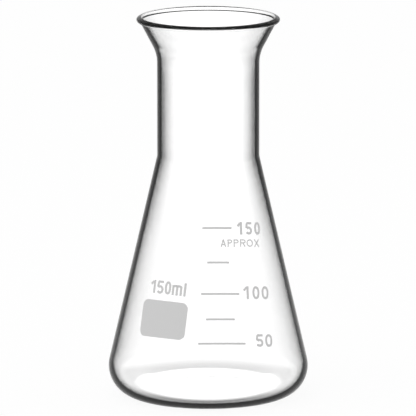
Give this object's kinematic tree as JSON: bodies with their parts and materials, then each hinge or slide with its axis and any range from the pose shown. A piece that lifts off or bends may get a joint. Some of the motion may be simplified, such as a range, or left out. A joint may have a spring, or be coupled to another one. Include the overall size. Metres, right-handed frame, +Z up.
{
  "type": "wide-mouth erlenmeyer flask",
  "caption": "Conical glass laboratory flask with a straight neck, a flared lipped mouth, a rounded heel and fired enamel capacity lines with a field for writing on.",
  "frame": {"origin": "centre of the foot ring, on the surface that the flask stands on", "axes": "+Z up the flask's axis towards its mouth, -Y towards the viewer, who sees the capacity lines"},
  "size_m": [0.0702, 0.0702, 0.1339],
  "materials": {
    "glass": "clear, fire-polished",
    "patch_enamel": "white enamel, fired on, satin",
    "line_enamel": "white enamel, fired on, satin"
  },
  "bodies": {
    "root": {"flask_body": "glass", "marking_patch": "patch_enamel", "graduation_line_50": "line_enamel", "graduation_line_75": "line_enamel", "graduation_line_100": "line_enamel", "graduation_line_125": "line_enamel", "graduation_line_150": "line_enamel"}
  },
  "joints": []
}
